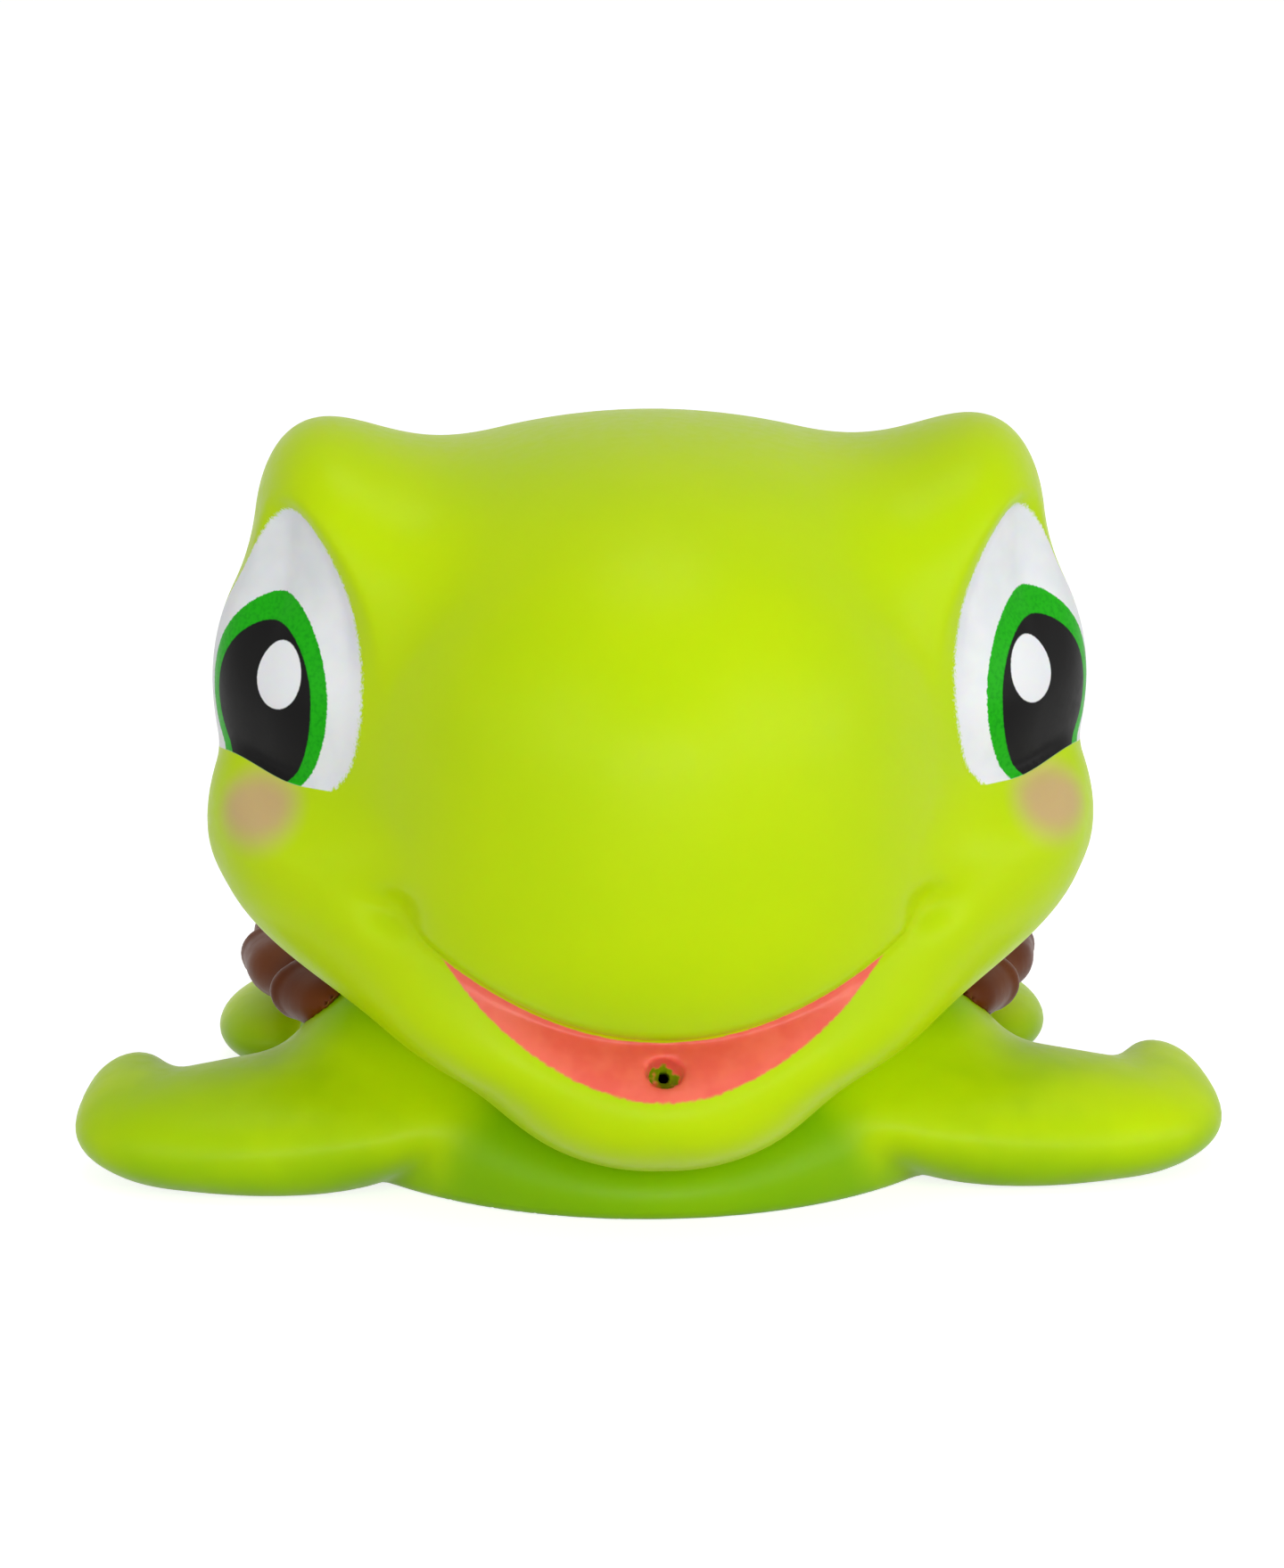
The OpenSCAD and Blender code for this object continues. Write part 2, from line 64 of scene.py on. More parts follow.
# The meshes' facets need a little more room round the neck than the solids
PLUG_PLAY = 0.2
BEAD_W, BEAD_T = 2.4, 2.6
SEAT_GAP, WALL, HEM, HEM_MORE = 0.35, 2.4, 3.1, 6.2
SQUIRT_AT, SQUIRT_RISE, SQUIRT_R = np.array([0, -45.75, 18.7]), math.radians(20), 1.9
SQUIRT_WAY = np.array([0, -math.cos(SQUIRT_RISE), math.sin(SQUIRT_RISE)])
SQUEAK_AT, SQUEAK_D, SQUEAK_GRIP, COLLAR_W = np.array([0, 6.0, 0]), 16.0, 5.58, 1.4
SHELL_AT = np.array([0, 12.0, 14.6])
RIM_X, RIM_Y, RIM_HALF, SHELL_RISE, SHELL_WALL = 38.6, 39.6, 4.1, 30.0, 2.2
# The rim as the photograph shows it: how much higher and flatter it is, and where its foot is cut
RIM_RAISE, RIM_FLAT, RIM_CUT = 1.5, 1.25, 0.97
RIM_FOOT = SHELL_AT[2] + RIM_RAISE - RIM_HALF / RIM_FLAT * RIM_CUT
BACK_GAP, COLLAR_DEEP, COLLAR_GAP = 3.0, 7.0, 0.15

# Egg shapes: the middle and the half sizes as shares of the head, body or flippers, and the turn
CRANIUM = ((0, 0.107, 0.057), (0.464, 0.393, 0.44), (0, 0, 0))
SNOUT = ((0, -0.107, 0.1), (0.318, 0.393, 0.4), (0, 0, 0))
MUZZLE = ((0, -0.18, -0.127), (0.285, 0.27, 0.195), (0, 0, 0))
FOREHEAD = ((0, 0.08, 0.327), (0.394, 0.307, 0.18), (0, 0, 0))
EYE = ((0.326, 0.02, 0.179), (0.164, 0.2, 0.223), (0, 0, 0))
BROW = ((0.341, 0.033, 0.354), (0.089, 0.193, 0.191), (0, 20, 0))
CHEEK = ((0.316, -0.013, -0.047), (0.188, 0.195, 0.193), (0, 0, 0))
JAW = ((0, -0.147, -0.377), (0.177, 0.253, 0.121), (0, 0, 0))
JOWL = ((0.199, -0.067, -0.201), (0.215, 0.253, 0.161), (0, -32, 0))
LIP = ((0.15, -0.207, -0.296), (0.188, 0.152, 0.086), (0, -24, 20))
TORSO = ((0, -0.016, 0.167), (0.5, 0.516, 0.833), (0, 0, 0))
CHEST = ((0, -0.293, 0.417), (0.267, 0.207, 0.5), (0, 0, 0))
SHOULDER = ((0.287, -0.22, 0.479), (0.181, 0.165, 0.417), (0, 0, 0))
HIP = ((0.36, 0.341, 0.188), (0.133, 0.11, 0.188), (0, 0, 0))
ARM = ((0.256, 0.036, 0.673), (0.136, 0.5, 0.644), (8, 12, 4))
BLADE = ((0.38, 0.018, 0.495), (0.126, 0.464, 0.558), (5, 1, 7))
TIP = ((0.463, 0.268, 0.639), (0.041, 0.357, 0.337), (14, 13, 8))
PADDLE = ((0.413, 0, 0.443), (0.096, 0.523, 0.523), (0, 0, 12))
# How softly the shapes melt into each other
FACE_MELT, MUZZLE_MELT, BROW_MELT, LID_MELT, JAW_MELT = 9.24, 12, 3.5, 1.5, 6.0
BODY_MELT, TIP_MELT, HIND_MELT, RIM_MELT = 6.0, 2.6, 2.2, 3.0

# The squirt hole: its depth, lean and taper, and the small hole through its foot
RECESS_DEEP, RECESS_LEAN, RECESS_TAPER, RECESS_MORE = 3.6, 0.33, 0.13, 0.1
FOOT_HOLE_R, FOOT_DROP, BORE_REACH = 0.6, np.array([0, 0, 0.75]), 12
# Where the wall behind the mouth is thicker, as shares of the head, and by how much
PAD_AT, PAD_HALF, PAD_THICK = np.array([0, -0.29, -0.29]), np.array([0.3, 0.3, 0.22]), 3.2
# The beak's edge: its height in the middle, its bend, its fall to the back, its front and rounding
LIP_Z, LIP_BEND, LIP_FALL, LIP_FRONT, LIP_ROUND = 21.95, 0.0189, 0.25, -47.5, 0.8
# Turns a height over or under the mouth's sloping edges into about a distance from them
EDGE_SLANT = 0.85
# The cheek's top is lower near the snout, the eye sits in a socket, and the mouth ends in dimples
LID_DIP, SOCKET_TOP, SOCKET_LOW = 2.6, 2.1, 0.6
CORNER_AT, CORNER_HALF, CORNER_DEPTH = np.array([26.8, -40.5, 33.0]), np.array([2.8, 4.5, 1.9]), 1.8

# The eye's chart is wound round an upright cylinder
EYE_X, EYE_Y, EYE_R = 29.0, -16.5, 14.3
# Painted ovals on it: middle, half width, half heights up and down, lean in degrees
OVALS = {
    "white": (13.3, 49.4, 12.7, 21.2, 8.0, 13.0),
    "iris": (11.9, 51.7, 8.5, 10.3, 10.6, 0),
    "pupil": (12.0, 51.6, 6.8, 7.6, 9.4, 0),
    "glint": (9.5, 54.1, 3.0, 3.4, 3.3, 0),
    "blush": (11.3, 40.7, 5.2, 4.2, 4.2, 0),
}


def eye_chart(p):
    """Where a point lies on the eye: round it from its inner edge, and up."""
    x, y = np.abs(p[..., 0]), p[..., 1]
    return EYE_R * np.arctan2(x - EYE_X, EYE_Y - y), p[..., 2]


def oval_gap(u, v, middle_u, middle_v, half, up, down, lean):
    """Distance to the edge of a painted oval, below zero inside."""
    t = math.radians(lean)
    du, dv = u - middle_u, v - middle_v
    x = math.cos(t) * du + math.sin(t) * dv
    y = -math.sin(t) * du + math.cos(t) * dv
    rise = np.where(y > 0, up, down)
    k0 = np.hypot(x / half, y / rise)
    k1 = np.hypot(x / half ** 2, y / rise ** 2)
    return k0 * (k0 - 1) / np.maximum(k1, 1e-6)


def spin(turn):
    """The matrix of turns about x, y and z, in degrees."""
    ax, ay, az = np.radians(turn)
    cx, sx, cy, sy, cz, sz = np.cos(ax), np.sin(ax), np.cos(ay), np.sin(ay), np.cos(az), np.sin(az)
    rx = np.array([[1, 0, 0], [0, cx, -sx], [0, sx, cx]])
    ry = np.array([[cy, 0, sy], [0, 1, 0], [-sy, 0, cy]])
    rz = np.array([[cz, -sz, 0], [sz, cz, 0], [0, 0, 1]])
    return rz @ ry @ rx


def gap_to(p, shares, at, size):
    """egg_gap for an egg shape given in shares of a size."""
    middle = at + np.array(shares[0]) * size
    half = np.array(shares[1]) * size
    return egg_gap(p, middle, half, shares[2])


def egg_gap(p, middle, half, turn=(0, 0, 0)):
    """Near the skin, the distance from points to an egg shape's skin, below zero inside."""
    q = p - middle
    if any(turn):
        q = q @ spin(turn)
    u = q / half
    k0 = np.sqrt((u * u).sum(-1))
    w = u / half
    k1 = np.sqrt((w * w).sum(-1))
    return k0 * (k0 - 1) / np.maximum(k1, 1e-9)


def melt(a, b, k):
    """Either of two forms, with a fillet of about k between them."""
    h = np.maximum(k - np.abs(a - b), 0)
    return np.minimum(a, b) - h * h / (4 * k)


def keep(a, b, k):
    """What two forms share, with its edge rounded over about k."""
    return -melt(-a, -b, k)


def smooth(t):
    """From 0 to 1, slow at both ends."""
    t = np.clip(t, 0, 1)
    return t * t * (3 - 2 * t)


def mirrored(p):
    """Points of the right half moved to the left one, since both are alike."""
    m = p.copy()
    m[..., 0] = np.abs(m[..., 0])
    return m


def over_seat(p):
    """Height over the plane between the head and the body, square to the neck."""
    return (p - NECK_AT) @ NECK_WAY


def off_axis(p, at, way):
    """Distance from a line, and how far along it."""
    q = p - at
    along = q @ way
    return np.sqrt(np.maximum((q * q).sum(-1) - along * along, 0)), along


def lip_over(p):
    """How far a point is under the beak's edge, which bends up to both mouth corners."""
    x, y, z = np.abs(p[..., 0]), p[..., 1], p[..., 2]
    edge = LIP_Z + LIP_BEND * x * x - LIP_FALL * (y - LIP_FRONT)
    return EDGE_SLANT * (edge - z) - 20 * smooth((y + 32) / 12) - np.maximum(x - 30, 0)


def blend_width(p):
    """The snout melts into the cheeks more softly towards the brow and the back."""
    y, z = p[..., 1], p[..., 2]
    front = smooth((HEAD_AT[1] - y) / 12)
    at_front = 1.2 + 4.3 * smooth((z - 30) / 10) + 5.5 * smooth((z - 52) / 14)
    at_back = 2.0 + 9.0 * smooth((z - 22) / 14)
    return at_back + (at_front - at_back) * front


def head_parts(p):
    """Each part of the head by itself, the face, the sides, and all of it together."""
    m = mirrored(p)
    g = {name: gap_to(m, shares, HEAD_AT, HEAD_SIZE) for name, shares in (
        ("cranium", CRANIUM), ("snout", SNOUT), ("muzzle", MUZZLE), ("forehead", FOREHEAD), ("eye", EYE),
        ("brow", BROW), ("cheek", CHEEK), ("jaw", JAW), ("jowl", JOWL), ("lip", LIP))}
    face = melt(melt(g["cranium"], g["snout"], FACE_MELT), g["muzzle"], MUZZLE_MELT)
    face = melt(face, g["forehead"], FACE_MELT)
    face = keep(face, lip_over(p), LIP_ROUND)
    g["cheek"] = g["cheek"] + LID_DIP * smooth((43 - m[..., 0]) / 8) * smooth((m[..., 2] - 36) / 8)
    eye = melt(melt(g["eye"], g["brow"], BROW_MELT), g["cheek"], LID_MELT)
    jaw = melt(melt(g["jaw"], g["lip"], JAW_MELT), g["jowl"], JAW_MELT)
    side = melt(eye, jaw, FACE_MELT)
    return g, face, side, melt(face, side, blend_width(p))


def head_form(p):
    """The head with its eye sockets and mouth corners pressed in."""
    g, _, _, form = head_parts(p)
    u, v = eye_chart(p)
    rim = oval_gap(u, v, *OVALS["white"])
    # The socket fades out round the eye's outer side, under the cheek and behind the head's middle
    reach = (1 - smooth((u - 11) / 9)) * smooth((g["cheek"] - g["eye"] + 0.3) / 2) * (p[..., 1] < -5)
    depth = SOCKET_LOW + (SOCKET_TOP - SOCKET_LOW) * smooth((v - 50) / 12)
    form = form + depth * smooth((1.8 - rim) / 3.2) * reach
    q = (mirrored(p) - CORNER_AT) / CORNER_HALF
    return form + CORNER_DEPTH * np.exp(-(q * q).sum(-1))


def head_hem(p):
    """How widely the head's wall rounds into its flat seat, more at the back."""
    return HEM + HEM_MORE * smooth((p[..., 1] - HEAD_AT[1]) / 18)


def head_outer(p):
    form = head_form(p)
    skin = keep(form, SEAT_GAP - 0.4 - over_seat(p), head_hem(p))
    return np.maximum(skin, SEAT_GAP - over_seat(p)), form


def head_field(p):
    outer, form = head_outer(p)
    inner = keep(form + WALL + mouth_wall(p), SEAT_GAP + WALL - over_seat(p), head_hem(p))
    shell = np.maximum(outer, -inner)
    r, t = off_axis(p, NECK_AT, NECK_WAY)
    plug_r = NECK_D / 2 - NECK_GAP - PLUG_PLAY
    top = SEAT_GAP + WALL
    bead_top = -WALL - SEAT_GAP
    bead = plug_r + BEAD_W * np.clip((t - bead_top + BEAD_T) / BEAD_T, 0, 1) * (t < bead_top)
    plug = np.maximum(np.maximum(r - bead, bead_top - BEAD_T - t), t - top)
    shell = np.minimum(shell, plug)
    shell = np.maximum(shell, np.minimum(plug_r - NECK_WALL - r, top + 1.0 - t))
    return keep(shell, -squirt_bore(p), 0.35)


def squirt_bore(p):
    """A recess that leans down as it goes in, and a smaller hole through its foot."""
    deep = (SQUIRT_AT - p) @ SQUIRT_WAY
    lean = np.clip(deep, 0, RECESS_DEEP)
    q = p.copy()
    q[..., 2] = q[..., 2] + RECESS_LEAN * lean
    recess = off_axis(q, SQUIRT_AT, SQUIRT_WAY)[0] - SQUIRT_R - RECESS_MORE + RECESS_TAPER * lean
    recess = np.maximum(recess, deep - RECESS_DEEP)
    foot = off_axis(p, SQUIRT_AT - FOOT_DROP, SQUIRT_WAY)[0] - FOOT_HOLE_R
    return np.maximum(np.minimum(recess, foot), np.abs(deep) - BORE_REACH)


def mouth_wall(p):
    """Extra thickness of the wall behind the mouth."""
    q = (p - HEAD_AT - PAD_AT * HEAD_SIZE) / (PAD_HALF * HEAD_SIZE)
    return PAD_THICK * smooth(1 - np.sqrt((q * q).sum(-1)))


def torso_form(p):
    """The body without its flippers, up to the back under the shell."""
    m = mirrored(p)
    d = gap_to(m, TORSO, BODY_AT, BODY_SIZE)
    for part in (CHEST, SHOULDER, HIP):
        d = melt(d, gap_to(m, part, BODY_AT, BODY_SIZE), BODY_MELT)
    back = np.array([RIM_X, RIM_Y, SHELL_RISE + BACK_GAP / 2]) - SHELL_WALL - BACK_GAP
    return melt(d, egg_gap(p, SHELL_AT, back), BODY_MELT)


def limb_forms(p):
    """The front and the hind flippers."""
    m = mirrored(p)
    front = melt(gap_to(m, ARM, FRONT_AT, FRONT_SIZE), gap_to(m, BLADE, FRONT_AT, FRONT_SIZE), BODY_MELT)
    front = melt(front, gap_to(m, TIP, FRONT_AT, FRONT_SIZE), TIP_MELT)
    return front, gap_to(m, PADDLE, HIND_AT, HIND_SIZE)


def shell_lining(p):
    """Distance to the inside of the brown shell."""
    q = p.copy()
    q[..., 2] = np.maximum(q[..., 2], SHELL_AT[2])
    return egg_gap(q, SHELL_AT, np.array([RIM_X, RIM_Y, SHELL_RISE]) - SHELL_WALL)


def body_outer(p):
    torso = torso_form(p)
    # Below the head, the body fills the brown shell's open front
    collar = np.maximum(shell_lining(p) + COLLAR_GAP, -over_seat(p) - COLLAR_DEEP)
    collar = np.maximum(collar, RIM_FOOT - p[..., 2])
    skin = np.minimum(torso, collar)
    front, hind = limb_forms(p)
    root = 1.2 + 4.0 * smooth((p[..., 2] - 2) / 9)
    skin = melt(melt(skin, front, root), hind, HIND_MELT)
    skin = keep(skin, -p[..., 2], 0.9)
    return keep(skin, over_seat(p), 3.2), torso


def body_field(p):
    outer, torso = body_outer(p)
    inner = np.maximum(np.maximum(torso + WALL, over_seat(p) + WALL), WALL - p[..., 2])
    shell = np.maximum(outer, -inner)
    r, t = off_axis(p, SQUEAK_AT, np.array([0, 0, 1.0]))
    grip = np.maximum(np.maximum(r - SQUEAK_D / 2 - COLLAR_W - WALL, t - SQUEAK_GRIP), -t)
    shell = np.maximum(np.minimum(shell, grip), SQUEAK_D / 2 - r)
    r, t = off_axis(p, NECK_AT, NECK_WAY)
    return np.maximum(shell, np.minimum(NECK_D / 2 - r, t + WALL + 1.5))


# Meshes from forms
EDGES = [(a, a | bit) for a in range(8) for bit in (1, 2, 4) if not a & bit]
CORNERS = np.array([[(c >> 0) & 1, (c >> 1) & 1, (c >> 2) & 1] for c in range(8)])


def sample(field, axes):
    """The field over a grid, slab by slab."""
    out = np.empty([len(a) for a in axes], np.float32)
    yy, zz = np.meshgrid(axes[1], axes[2], indexing="ij")
    for i in range(0, len(axes[0]), 8):
        xs = axes[0][i:i + 8]
        p = np.empty((len(xs),) + yy.shape + (3,))
        p[..., 0] = xs[:, None, None]
        p[..., 1] = yy
        p[..., 2] = zz
        out[i:i + 8] = field(p)
    return out


def net(values, axes):
    """One point in each cell that the skin crosses, and the quads between them."""
    inside = values < 0
    n = np.array(values.shape)
    some = np.zeros(n - 1, bool)
    every = np.ones(n - 1, bool)
    for c in CORNERS:
        part = inside[c[0]:n[0] - 1 + c[0], c[1]:n[1] - 1 + c[1], c[2]:n[2] - 1 + c[2]]
        some |= part
        every &= part
    cells = np.argwhere(some & ~every)
    number = np.full(n - 1, -1, np.int64)
    number[tuple(cells.T)] = np.arange(len(cells))
    corner = [cells + c for c in CORNERS]
    value = [values[tuple(c.T)].astype(float) for c in corner]
    place = [np.stack([axes[k][c[:, k]] for k in range(3)], -1) for c in corner]
    total = np.zeros((len(cells), 3))
    count = np.zeros(len(cells))
    for a, b in EDGES:
        cross = (value[a] < 0) != (value[b] < 0)
        t = np.where(cross, value[a] / np.where(cross, value[a] - value[b], 1), 0)
        total += np.where(cross[:, None], place[a] + t[:, None] * (place[b] - place[a]), 0)
        count += cross
    points = total / count[:, None]
    quads = []
    for k in range(3):
        u, v = (k + 1) % 3, (k + 2) % 3
        low = [slice(None)] * 3
        high = [slice(None)] * 3
        low[k], high[k] = slice(0, -1), slice(1, None)
        for w in (u, v):
            low[w] = high[w] = slice(1, -1)
        first, second = inside[tuple(low)], inside[tuple(high)]
        for cross, flip in ((first & ~second, False), (~first & second, True)):
            at = np.argwhere(cross)
            at[:, u] += 1
            at[:, v] += 1
            ring = []
            for du, dv in ((1, 1), (0, 1), (0, 0), (1, 0)):
                q = at.copy()
                q[:, u] -= du
                q[:, v] -= dv
                ring.append(number[tuple(q.T)])
            ring = np.stack(ring, -1)
            quads.append(ring[:, ::-1] if flip else ring)
    return points, np.concatenate(quads)


def slope(field, p, e=0.04):
    """The field's gradient, from four samples."""
    ways = np.array([[1, -1, -1], [-1, -1, 1], [-1, 1, -1], [1, 1, 1.0]])
    g = np.zeros_like(p)
    for w in ways:
        g += w * field(p + e * w)[:, None]
    return g / (4 * e)


def settle(field, p, quads, rounds=5, reach=0.5):
    """Evens out the points and puts them back on the skin."""
    a = np.concatenate([quads[:, i] for i in range(4)])
    b = np.concatenate([quads[:, (i + 1) % 4] for i in range(4)])
    count = np.bincount(a, minlength=len(p)) + np.bincount(b, minlength=len(p))
    for i in range(rounds + 2):
        if i < rounds:
            mean = np.empty_like(p)
            for k in range(3):
                mean[:, k] = np.bincount(a, p[b, k], len(p)) + np.bincount(b, p[a, k], len(p))
            p = p + 0.6 * (mean / count[:, None] - p)
        g = slope(field, p)
        step = field(p)[:, None] * g / np.maximum((g * g).sum(-1, keepdims=True), 0.1)
        p = p - np.clip(step, -reach, reach)
    return p


def skin_mesh(name, field, low, high, step):
    """A closed, smooth mesh of where a field is zero, inside a box."""
    axes = [np.arange(low[k] - step * 1.5, high[k] + step * 2, step) for k in range(3)]
    points, quads = net(sample(field, axes), axes)
    points = settle(field, points, quads)
    mesh = bpy.data.meshes.new(name)
    mesh.from_pydata([], [], [])
    mesh.vertices.add(len(points))
    mesh.vertices.foreach_set("co", (points * MM).ravel())
    mesh.loops.add(quads.size)
    mesh.loops.foreach_set("vertex_index", quads.ravel())
    mesh.polygons.add(len(quads))
    mesh.polygons.foreach_set("loop_start", np.arange(0, quads.size, 4))
    mesh.update(calc_edges=True)
    mesh.validate()
    mesh.shade_smooth()
    thing = bpy.data.objects.new(name, mesh)
    bpy.context.scene.collection.objects.link(thing)
    return thing, points


def store(thing, name, values):
    """One number per point of a mesh, for its material."""
    layer = thing.data.attributes.new(name, "FLOAT", "POINT")
    layer.data.foreach_set("value", np.asarray(values, np.float32))


# The three mouldings
# Spacing of the meshes' grids
HEAD_STEP, BODY_STEP, SHELL_STEP = ((0.6, 0.7, 0.6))
# The dome's plates: their spacing along the back and to the side, and the grooves between them
PLATE_STEP, COSTAL_X = 14.0, 21.5
PLATE_GROOVE, PLATE_EDGE = 0.8, 1.1
MARGIN_SHARE = 0.85
# The rim's scutes lap over each other like tiles. Their back edges bend a little, one of them is
# seen this far ahead of the shell's side, in degrees, and two meet at the tail.
SCUTE_AT, SCUTE_BEND, SCUTE_DROP, SCUTE_LIP = 20.9, 1.2, 1.6, 0.3
SCUTE_PITCH = (90 + SCUTE_AT) / 5
# Shares of a scute's width: where its swell is full, where it drops off, and its lip
SWELL_END, DROP_START, LIP_SHARE, LIP_WIDTH = 0.5, 0.92, 0.86, 0.05


def rim_line(p):
    """Degrees ahead of the shell's side, the distance out from the rim's line, and the share of it."""
    x, y = np.abs(p[..., 0]), p[..., 1] - SHELL_AT[1]
    ahead = np.degrees(np.arctan2(-y / RIM_Y, x / RIM_X))
    out = np.hypot(x, y)
    share = np.sqrt((x / RIM_X) ** 2 + (y / RIM_Y) ** 2)
    return ahead, out * (1 - 1 / np.maximum(share, 1e-6)), share


def plate_gap(p):
    """Distance to the nearest line between two plates on the shell's dome."""
    x, y = np.abs(p[..., 0]), p[..., 1] - SHELL_AT[1]
    middles = [(0, PLATE_STEP * i) for i in range(-2, 3)]
    middles += [(COSTAL_X, PLATE_STEP * (i + 0.5)) for i in range(-3, 3)]
    away = np.sort(np.stack([np.hypot(x - mx, y - my) for mx, my in middles]), axis=0)
    return (away[1] - away[0]) / 2


def scute_share(ahead, z):
    """How far a point is from the front edge of its rim scute to the back one, from 0 to 1."""
    edge = SCUTE_AT + SCUTE_BEND * np.clip(z / RIM_HALF, -1.1, 1.2) ** 2
    return np.mod((edge - ahead) / SCUTE_PITCH, 1)


def carapace_outer(p):
    """The dome with its plates, and the rim whose scutes swell to the back and end in a lip."""
    ahead, out, share = rim_line(p)
    z = p[..., 2] - SHELL_AT[2]
    height = RIM_FLAT * (z - RIM_RAISE)
    along = scute_share(ahead, height)
    swell = smooth(along / SWELL_END) * (1 - smooth((along - DROP_START) / (1 - DROP_START)))
    lip = SCUTE_LIP * np.exp(-((along - LIP_SHARE) / LIP_WIDTH) ** 2)
    rim = np.hypot(out, height) - RIM_HALF + SCUTE_DROP * (1 - swell) - lip
    dome = egg_gap(p, SHELL_AT, np.array([RIM_X, RIM_Y, SHELL_RISE]))
    ring = np.abs(share - MARGIN_SHARE) * RIM_X * 0.8
    inner = share < MARGIN_SHARE
    plates = np.where(inner, plate_gap(p), 99)
    spokes = np.where(inner, 99, np.minimum(along, 1 - along) * math.radians(SCUTE_PITCH) * RIM_X)
    line = np.minimum(np.minimum(plates, ring), spokes)
    dome = dome + PLATE_GROOVE * np.exp(-(line / PLATE_EDGE) ** 2) * (z > 0)
    return melt(dome, rim, RIM_MELT)


def carapace_field(p):
    outer = keep(carapace_outer(p), over_seat(p), 0.8)
    shell = keep(keep(outer, RIM_FOOT - p[..., 2], 0.8), -shell_lining(p), 0.5)
    return np.maximum(shell, 0.1 - torso_form(p))


MOUTH_TOP = 36.0


def mouth_low(x):
    """Height of the painted mouth's lower edge."""
    x = np.abs(x)
    return 15.65 + 0.0255 * x ** 2 + 1.5e-8 * x ** 6


def make_head():
    low, high = np.array([-46.0, -57, 5]), np.array([46.0, 20, 79])
    head, p = skin_mesh("head", head_field, low, high, HEAD_STEP)
    parts, face, side, form = head_parts(p)
    u, v = eye_chart(p)
    for name, oval in OVALS.items():
        store(head, name, oval_gap(u, v, *oval))
    store(head, "lid", parts["eye"] - parts["cheek"])
    store(head, "lip_edge", side - face)
    low_edge = EDGE_SLANT * (mouth_low(p[:, 0]) - p[:, 2])
    store(head, "mouth_edge", np.maximum(low_edge, p[:, 2] - MOUTH_TOP))
    beside, along = off_axis(p, SQUIRT_AT, SQUIRT_WAY)
    store(head, "recess", np.where(beside < SQUIRT_R + 0.3, -along, 0))
    head.data.materials.append(head_vinyl())
    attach(head, "head")
    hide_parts("head_shell")


def make_body():
    low, high = np.array([-60.0, -36, -1]), np.array([60.0, 50, 42])
    body, p = skin_mesh("body", body_field, low, high, BODY_STEP)
    front, hind = limb_forms(p)
    # Painted shade: the trunk under the head, away from the flippers, and all that lies low near the
    # table are mixed towards a darker green, where less light falls
    trunk = np.minimum(front, hind) - np.maximum(torso_form(p), 0)
    low_down = 1 - smooth((p[:, 2] - 1) / 6)
    store(body, "shade", np.maximum(0.85 * smooth((trunk + 1) / 6), 0.6 * low_down))
    body.data.materials.append(body_vinyl())
    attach(body, "toy")
    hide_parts("body_shell")


def make_shell():
    low, high = np.array([-44.0, -14, 9]), np.array([44.0, 57, 47])
    shell, p = skin_mesh("shell", carapace_field, low, high, SHELL_STEP)
    shell.data.materials.append(shell_vinyl())
    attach(shell, "toy")
    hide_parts("carapace")


# Materials
def linear(colour):
    """A colour as it looks, from 0 to 255, as the shader's own linear values."""
    c = np.array(colour) / 255
    c = np.where(c <= 0.04045, c / 12.92, ((c + 0.055) / 1.055) ** 2.4)
    return (*c, 1.0)


